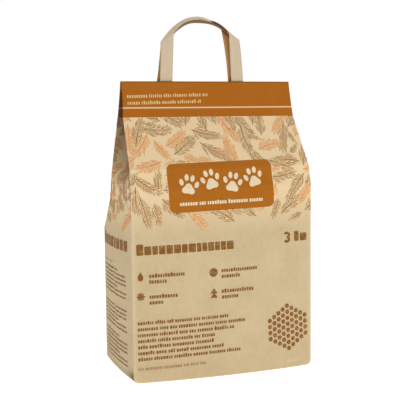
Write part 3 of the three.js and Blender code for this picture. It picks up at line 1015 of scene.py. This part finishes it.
# %% The print of the front
dark, pale, golden, faint, core = (Print() for _ in range(5))
front_texts(dark)
signs(dark)
dot_figure(dark, core)
for k, x in enumerate((-36, -12, 12, 36)):
    lean = (0.22 if k % 2 else -0.22) + LABEL_TURN
    paw(pale, turned((x, 6.6 if k % 2 else 2.6)), 17.5, lean)
row(pale, *turned((-47, -18.0)), 94, 3.4, 44, **LABEL_LINE)
row(golden, -90.7, 290.5, 89, 3.1, 45, **BAND_LINE)
row(golden, -90.7, 283.5, 81, 3.1, 46, **BAND_LINE)
row(faint, LEFT_EDGE, 13.4, 74, 2.8, 47, **PARAGRAPH)
for name, ink, layer in [("dark_text", "dark_text", dark), ("pale_text", "pale", pale),
                         ("golden_text", "golden", golden), ("faint_text", "faint", faint),
                         ("dot_cores", "bright", core)]:
    lift = TOP_INK_LIFT if name == "dot_cores" else INK_LIFT
    prints[name] = (ink, layer.lay(name, *PANELS["front"], lift))
print(len(prints), "layers of print")

# %% The print of the left side
side_text = Print()
side_text.words(-45, 134.5, 90, 11.0, 80, **SIDE_MARK)
side_text.bar((-44, 118), (-4, 118), 0.6)
for line in range(23):
    if line not in (7, 8, 15):
        length = 84 if line % 4 else 60
        side_text.words(-44, 111 - 4.4 * line, length, 1.7, 90 + line)
prints["side_text"] = ("dark_text", side_text.lay("side_text", *PANELS["left"]))
print(len(prints), "layers with the left side's")

# %% [markdown]
# ## 4. Materials
#
# Paper, ink and handles differ in colour, in roughness and in fine relief. Their node trees
# could be wired by hand, but a shader is arithmetic on values that vary over the surface.
# `Field` wraps one socket, so the arithmetic is written as Python: `a * 0.5 + b` makes the
# nodes that it needs.


# %% Arithmetic for shaders
class Field:
    """One output socket of a shader tree, with arithmetic."""

    def __init__(self, tree, socket):
        self.tree, self.socket = tree, socket

    def math(self, operation, *others, clamp=False):
        node = self.tree.nodes.new("ShaderNodeMath")
        node.operation, node.use_clamp = operation, clamp
        for slot, value in zip(node.inputs, (self, *others)):
            connect(self.tree, value, slot)
        return Field(self.tree, node.outputs[0])

    def __add__(self, other):
        return self.math("ADD", other)

    def __sub__(self, other):
        return self.math("SUBTRACT", other)

    def __mul__(self, other):
        return self.math("MULTIPLY", other)

    def __rsub__(self, other):
        return (self * -1) + other

    __radd__ = __add__
    __rmul__ = __mul__

    def clamped(self):
        """The value held between 0 and 1."""
        return self.math("ADD", 0.0, clamp=True)

    def step(self, edge, soft):
        """Soft step: 0 below edge, 1 above, over a width of 2 soft."""
        return ((self - edge) * (0.5 / soft) + 0.5).clamped()


def connect(tree, value, slot):
    """Links a field, or sets a number or colour."""
    if isinstance(value, Field):
        tree.links.new(value.socket, slot)
    else:
        slot.default_value = value


def shader_node(tree, kind, output=0, settings=None, **inputs):
    """Makes one node, with settings such as operation and inputs by their names."""
    node = tree.nodes.new("ShaderNode" + kind)
    for key, value in (settings or {}).items():
        setattr(node, key, value)
    for key, value in inputs.items():
        connect(tree, value, node.inputs[key.replace("_", " ")])
    return Field(tree, node.outputs[output])


def axes(tree, vector):
    """The three coordinates of a vector, as fields."""
    x = shader_node(tree, "SeparateXYZ", Vector=vector)
    return [Field(tree, output) for output in x.socket.node.outputs]


def uv_pair(tree, name):
    """The two coordinates of one of the piece's UV maps."""
    return axes(tree, shader_node(tree, "UVMap", settings={"uv_map": name}))[:2]


print("a Field also has", ", ".join(name for name in vars(Field) if name[0] != "_"))


# %% Colours, noise and fibres
def linear(r, g, b):
    """An sRGB colour of 0 to 255 as linear light."""
    srgb = np.array([r, g, b]) / 255
    values = np.where(srgb <= 0.04045, srgb / 12.92, ((srgb + 0.055) / 1.055) ** 2.4)
    return (*values.tolist(), 1.0)


def blend_colours(tree, share, low, high):
    """Mixes two colours by a field."""
    node = tree.nodes.new("ShaderNodeMix")
    node.data_type = "RGBA"
    connect(tree, share, node.inputs["Factor"])
    connect(tree, low, node.inputs["A"])
    connect(tree, high, node.inputs["B"])
    return Field(tree, node.outputs["Result"])


def noise(tree, position, scale, detail=3.0, rough=0.55):
    """Noise of about zero mean, from -0.5 to 0.5."""
    value = shader_node(tree, "TexNoise", Vector=position, Scale=scale, Detail=detail,
                        Roughness=rough)
    return value - 0.5


def multiply(tree, vector, factors):
    """The vector with each axis scaled by itself, for fibres and streaks."""
    node = tree.nodes.new("ShaderNodeVectorMath")
    node.operation = "MULTIPLY"
    connect(tree, vector, node.inputs[0])
    node.inputs[1].default_value = factors
    return Field(tree, node.outputs[0])


def new_material(name):
    """An empty material: its tree, its principled shader and the object coordinates."""
    material = bpy.data.materials.new(name)
    material.use_nodes = True
    tree = material.node_tree
    shader = tree.nodes["Principled BSDF"]
    position = shader_node(tree, "TexCoord", output=3)
    return material, tree, shader, position


def paper_fibres(tree, position):
    """Fibres of kraft paper: mottling, long thin streaks and dark and light specks."""
    cloud = noise(tree, position, 38, 4)
    mottle = noise(tree, position, 260, 3)
    streak = noise(tree, multiply(tree, position, (1.0, 1.0, 0.09)), 900, 2)
    cross = noise(tree, multiply(tree, position, (0.12, 0.12, 1.0)), 1100, 2)
    speck = noise(tree, position, 1500, 1).step(0.19, 0.03)
    return cloud, mottle, streak, cross, speck


print("mid grey in linear light:", round(linear(128, 128, 128)[0], 3))

# %% [markdown]
# ### The printed kraft paper
#
# Kraft paper is brown paper of long fibres. It is mottled, and streaked along the way it ran
# through the machine, so noise is stretched along the height for the streaks and across it for
# the felt. Over it lie the paler ground of the pattern, the brown field round the top with its
# line, and the label. These large fields are colour in the paper's own shader and not pieces of
# ink, because a thin plate as large as the panel would be seen at its edge. The label's shape
# is the signed distance of a rounded box, d = |max(q, 0)| - r with q = |p| - size + r.

# %% Colours and heights of the printed fields
KRAFT = linear(208, 187, 147)
KRAFT_LIGHT = linear(220, 201, 164)
KRAFT_DARK = linear(182, 156, 114)
KRAFT_UPPER = linear(241, 213, 168)
# painted highlight: the pale colour that the folds get where their rounded edge catches the light
FOLD_HIGHLIGHT = linear(222, 203, 166)
BROWN = linear(171, 98, 12)
BROWN_LABEL = linear(173, 101, 14)
LINE = linear(238, 198, 150)
SHADE = linear(62, 30, 4)
BAND_HEIGHT = 270.6 * MM
LINE_HEIGHT = 280.4 * MM
LINE_WIDTH = 1.5 * MM
OUTSIDE_TONES = linear(190, 168, 138), linear(222, 204, 178)
OUTSIDE_MEAN = linear(208, 188, 159)
# painted shade: the handles' inside faces and the underside of the arch, brown from light thrown
# back between the strips
SHADED_INSIDE_TONES = linear(186, 138, 80), linear(214, 168, 110)
UNDER_ARCH_SHADE = linear(112, 80, 50)
CUT_EDGE = linear(168, 126, 80)
PAPER_SPECULAR = 0.12
print(f"brown field above {BAND_HEIGHT / MM:.1f} mm, with its line at {LINE_HEIGHT / MM:.1f} mm")


# %% Materials of paper, ink and handles
def finish_paper(tree, shader, colour, roughness):
    """Connects colour and roughness to the shader of a dull paper."""
    connect(tree, colour, shader.inputs["Base Color"])
    connect(tree, roughness, shader.inputs["Roughness"])
    shader.inputs["Specular IOR Level"].default_value = PAPER_SPECULAR


def raise_fibres(tree, shader, height, depth):
    """Fine relief: a bump of the given depth in metres."""
    bump = shader_node(tree, "Bump", Height=height, Strength=0.35, Distance=depth)
    connect(tree, bump, shader.inputs["Normal"])


def label_mask(tree, position):
    """1 inside the label and 0 outside, on the front panel only, and the height z."""
    x, y, z = axes(tree, position)
    c, s = math.cos(LABEL_TURN), math.sin(LABEL_TURN)
    dx, dz = x - LABEL_CENTRE[0] * MM, z - LABEL_CENTRE[1] * MM
    across = (dx * c + dz * s).math("ABSOLUTE") - (LABEL_SIZE[0] / 2 * MM - LABEL_ROUND * MM)
    upward = (dz * c - dx * s).math("ABSOLUTE") - (LABEL_SIZE[1] / 2 * MM - LABEL_ROUND * MM)
    across, upward = across.math("MAXIMUM", 0.0), upward.math("MAXIMUM", 0.0)
    distance = (across * across + upward * upward).math("SQRT") - LABEL_ROUND * MM
    inside = 1 - distance.step(0.0, 0.12 * MM)
    return inside * (1 - y.step(-20 * MM, 1 * MM)), z


def paper_material():
    """Kraft paper: printed fields, fibres, roughness, relief, painted shade and a painted fold
    highlight.
    """
    material, tree, shader, position = new_material("kraft_paper_printed")
    cloud, mottle, streak, cross, speck = paper_fibres(tree, position)
    label, z = label_mask(tree, position)
    tone = cloud * 0.9 + mottle * 0.5 + streak * 0.55 + cross * 0.35 + 0.5
    kraft = blend_colours(tree, tone.clamped(), KRAFT_DARK, KRAFT_LIGHT)
    kraft = blend_colours(tree, 0.45, kraft, KRAFT)
    kraft = blend_colours(tree, speck * 0.30, kraft, KRAFT_DARK)
    upper = z.step(172 * MM, 22 * MM)
    kraft = blend_colours(tree, upper * (tone * -0.3 + 0.95), kraft, KRAFT_UPPER)
    wear = mottle * 0.10 + streak * 0.08 + cloud * 0.10
    band = z.step(BAND_HEIGHT, 0.14 * MM)
    line = 1 - (z - LINE_HEIGHT).math("ABSOLUTE").step(LINE_WIDTH / 2, 0.14 * MM)
    worn = (wear * 1.2 + 0.02).clamped()
    ink = blend_colours(tree, worn, BROWN, KRAFT_DARK)
    label_ink = blend_colours(tree, worn, BROWN_LABEL, KRAFT_DARK)
    colour = blend_colours(tree, label, kraft, label_ink)
    colour = blend_colours(tree, band, colour, ink)
    colour = blend_colours(tree, line * 0.9, colour, LINE)
    # Painted light from the marks: painted shade in hollows and folds, and a painted highlight
    # along the folds below the tuck.
    shade, fold = uv_pair(tree, "marks")
    low_fold_highlight = fold * (1 - z.step(TUCK_START, 12 * MM))
    colour = blend_colours(tree, low_fold_highlight * (mottle * 0.8 + 0.55), colour, FOLD_HIGHLIGHT)
    colour = blend_colours(tree, shade * (cloud * 0.4 + 0.86), colour, SHADE)
    finish_paper(tree, shader, colour, mottle * 0.2 + 0.72 - (band + label) * 0.10)
    height = streak * 0.5 + cross * 0.4 + mottle * 0.7 + cloud * 2.2
    raise_fibres(tree, shader, height, 0.35 * MM)
    return material


def ink_material(name, colour, amount, rough=0.6):
    """Ink on kraft paper: the ink's colour, thinned by the fibres where the paper shows."""
    material, tree, shader, position = new_material(name)
    cloud, mottle, streak, cross, _ = paper_fibres(tree, position)
    thin = (mottle * 0.9 + streak * 0.5 + cross * 0.4 + (1 - amount)).clamped()
    colour = blend_colours(tree, thin, colour, KRAFT)
    # painted shade from the marks, as on the paper
    shade, _ = uv_pair(tree, "marks")
    colour = blend_colours(tree, shade * (cloud * 0.4 + 0.86), colour, SHADE)
    finish_paper(tree, shader, colour, mottle * 0.2 + rough)
    return material


def handle_material(name, lit_face):
    """The handles' kraft: its outside light, its inside in painted shade, fibres along the strip.

    lit_face is the face, 1 in front and 0 behind, that is light; the other face is painted a brown
    shade, for the shadow and the brown light thrown back between the handles. With 0 the arch is
    in this painted shade on both faces, darkest over it: that is the back handle's, which lies
    under the front one.
    """
    material, tree, shader, position = new_material(name)
    strip = shader_node(tree, "UVMap", settings={"uv_map": "strip"})
    across, _ = uv_pair(tree, "strip")
    side, arch = uv_pair(tree, "face")
    fibre = noise(tree, multiply(tree, strip, (1.0, 0.06, 1.0)), 1500, 3)
    mottle = noise(tree, position, 300, 4)
    cloud = noise(tree, position, 60, 2)
    edge = (across - STRIP_WIDTH / 2).math("ABSOLUTE").step(STRIP_WIDTH / 2 - 0.5 * MM, 0.3 * MM)
    seam = 1 - (across - STRIP_WIDTH * 0.54).math("ABSOLUTE").step(0.22 * MM, 0.2 * MM)
    # Painted shade: the inside face, and on the back handle the whole arch, take a brown shade
    # colour instead of the lit kraft.
    inside = side if lit_face == 0 else 1 - side
    brown = (inside + (arch if lit_face == 0 else arch * 0)).math("MINIMUM", 1.0)
    tone = (fibre * 0.9 + mottle * 0.7 + cloud * 0.5 + 0.5).clamped()
    light = blend_colours(tree, tone, *OUTSIDE_TONES)
    light = blend_colours(tree, 0.5, light, OUTSIDE_MEAN)
    dark = blend_colours(tree, tone, *SHADED_INSIDE_TONES)
    # painted shade, darkest over the arch
    dark = blend_colours(tree, arch * brown, dark, UNDER_ARCH_SHADE)
    colour = blend_colours(tree, brown, light, dark)
    colour = blend_colours(tree, edge * 0.35 + seam * 0.10, colour, CUT_EDGE)
    finish_paper(tree, shader, colour, mottle * 0.2 + 0.68)
    height = fibre * 0.6 + mottle * 0.6 + seam * -0.6 + cloud * 1.5
    raise_fibres(tree, shader, height, 0.3 * MM)
    return material


print("kraft in linear light:", np.round(KRAFT[:3], 3))

# %% Each piece gets its material
inks = {
    "dark": ink_material("ink_brown", linear(118, 66, 10), 0.98),
    "dark_text": ink_material("ink_text_brown", linear(134, 86, 28), 0.96),
    "bright": ink_material("ink_orange", linear(220, 126, 48), 0.96),
    "vein": ink_material("ink_vein", linear(250, 212, 156), 0.99),
    "pale": ink_material("ink_cream", linear(234, 214, 178), 0.96),
    "golden": ink_material("ink_golden", linear(224, 184, 120), 0.92),
    "faint": ink_material("ink_faint", linear(150, 112, 62), 0.70),
}
printed_paper = paper_material()
for obj in [bag] + flaps:
    obj.data.materials.append(printed_paper)
for piece_name, lit_face in (("front_handle_strip", 1), ("back_handle_strip", 0)):
    handles[piece_name].data.materials.append(handle_material(piece_name + "_kraft", lit_face))
for ink, obj in prints.values():
    obj.data.materials.append(inks[ink])
print(len(bpy.data.materials), "materials")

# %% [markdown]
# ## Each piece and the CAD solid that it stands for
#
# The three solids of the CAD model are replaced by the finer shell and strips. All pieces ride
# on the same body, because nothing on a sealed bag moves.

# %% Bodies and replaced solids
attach(bag, "root")
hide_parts("filled_bag")
for piece_name, node in (("front_handle_strip", "front_handle"),
                         ("back_handle_strip", "back_handle")):
    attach(handles[piece_name], "root")
    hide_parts(node)
for obj in flaps + [obj for _, obj in prints.values()]:
    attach(obj, "root")
print("pieces:", 3 + len(flaps) + len(prints))

# %% [markdown]
# ## 5. Camera, light and floor
#
# A pack shot is lit softly from in front and above, on white. A white backdrop could be lit
# until it clips, but that would wash out the bag as well. So the world is pure white for the
# camera alone and a dimmer white for the light, and the floor glows a little under its soft
# shadow. The camera stands to the left of the middle and looks down by five degrees. Its matrix
# is built from its heading, pitch and roll.

# %% Values of camera, light and floor
IMAGE_SIZE = 400
FOCAL_PIXELS = 937.25
SENSOR = 36
HEADING = math.radians(20.02)
PITCH = math.radians(5.15)
ROLL = math.radians(-0.62)
DISTANCE = 1.0194
CAMERA_HEIGHT = 0.27184
SHIFT_RIGHT = 5.95 * MM
FILL_STRENGTH = 0.36
FLOOR_GLOW = 0.70
FLOOR_REACH = 9.0
# Name, place, target, size and power of each lamp.
LAMPS = [("key", (0.4, -1.8, 1.6), (0, 0, 0.2), 1.4, 12.5),
         ("fill", (-1.9, -1.3, 1.0), (0, 0, 0.15), 1.6, 0.6),
         ("top", (0.2, 0.3, 2.2), (0, 0, 0.1), 2.0, 18)]
print(f"lens {FOCAL_PIXELS / IMAGE_SIZE * SENSOR:.1f} mm, {DISTANCE:.2f} m away")


# %% Camera, lamps, world and floor
def make_camera():
    """The camera: forward = heading vector tilted down, then right and up turned by the roll."""
    ahead = Vector((math.sin(HEADING), math.cos(HEADING), 0))
    right = Vector((math.cos(HEADING), -math.sin(HEADING), 0))
    up = Vector((0, 0, 1))
    place = -ahead * DISTANCE - right * SHIFT_RIGHT + up * CAMERA_HEIGHT
    forward = ahead * math.cos(PITCH) - up * math.sin(PITCH)
    upward = up * math.cos(PITCH) + ahead * math.sin(PITCH)
    rolled_right = right * math.cos(ROLL) + upward * math.sin(ROLL)
    rolled_up = upward * math.cos(ROLL) - right * math.sin(ROLL)
    data = bpy.data.cameras.new("camera")
    data.sensor_width = SENSOR
    data.lens = FOCAL_PIXELS / IMAGE_SIZE * SENSOR
    data.clip_end = 20
    camera = bpy.data.objects.new("camera", data)
    turn = Matrix((rolled_right, rolled_up, -forward)).transposed()
    camera.matrix_world = Matrix.Translation(place) @ turn.to_4x4()
    bpy.context.scene.collection.objects.link(camera)
    bpy.context.scene.camera = camera


def area_light(name, place, target, size, power):
    """A square soft light at a place, aimed at a target."""
    data = bpy.data.lights.new(name, "AREA")
    data.shape, data.size, data.energy = "SQUARE", size, power
    light = bpy.data.objects.new(name, data)
    light.location = place
    direction = Vector(target) - Vector(place)
    light.rotation_euler = direction.to_track_quat("-Z", "Y").to_euler()
    bpy.context.scene.collection.objects.link(light)


def make_world():
    """White to the camera, and a softer white as light on the bag."""
    world = bpy.data.worlds.new("studio")
    world.use_nodes = True
    tree = world.node_tree
    background = tree.nodes["Background"]
    ray = tree.nodes.new("ShaderNodeLightPath")
    seen = Field(tree, ray.outputs["Is Camera Ray"])
    strength = seen * (1 - FILL_STRENGTH) + FILL_STRENGTH
    connect(tree, strength, background.inputs["Strength"])
    background.inputs["Color"].default_value = (1, 1, 1, 1)
    bpy.context.scene.world = world


def make_floor():
    """A white floor that keeps only a soft shadow: it glows a little, as a lit table does."""
    corners = np.array([(-1, -1, 0), (1, -1, 0), (1, 1, 0), (-1, 1, 0)]) * FLOOR_REACH
    floor = make_mesh("studio_floor", corners, np.array([[0, 1, 2, 3]]), smooth=False)
    material, _, shader, _ = new_material("studio_floor")
    shader.inputs["Base Color"].default_value = (0.9, 0.9, 0.9, 1)
    shader.inputs["Roughness"].default_value = 0.9
    shader.inputs["Specular IOR Level"].default_value = 0.0
    shader.inputs["Emission Color"].default_value = (1, 1, 1, 1)
    shader.inputs["Emission Strength"].default_value = FLOOR_GLOW
    floor.data.materials.append(material)


make_camera()
make_world()
make_floor()
for lamp in LAMPS:
    area_light(*lamp)
bpy.context.scene.view_settings.view_transform = "Standard"
print("camera", tuple(round(v, 3) for v in bpy.context.scene.camera.location))

# %% [markdown]
# The visual pieces stay inside the CAD model's box.
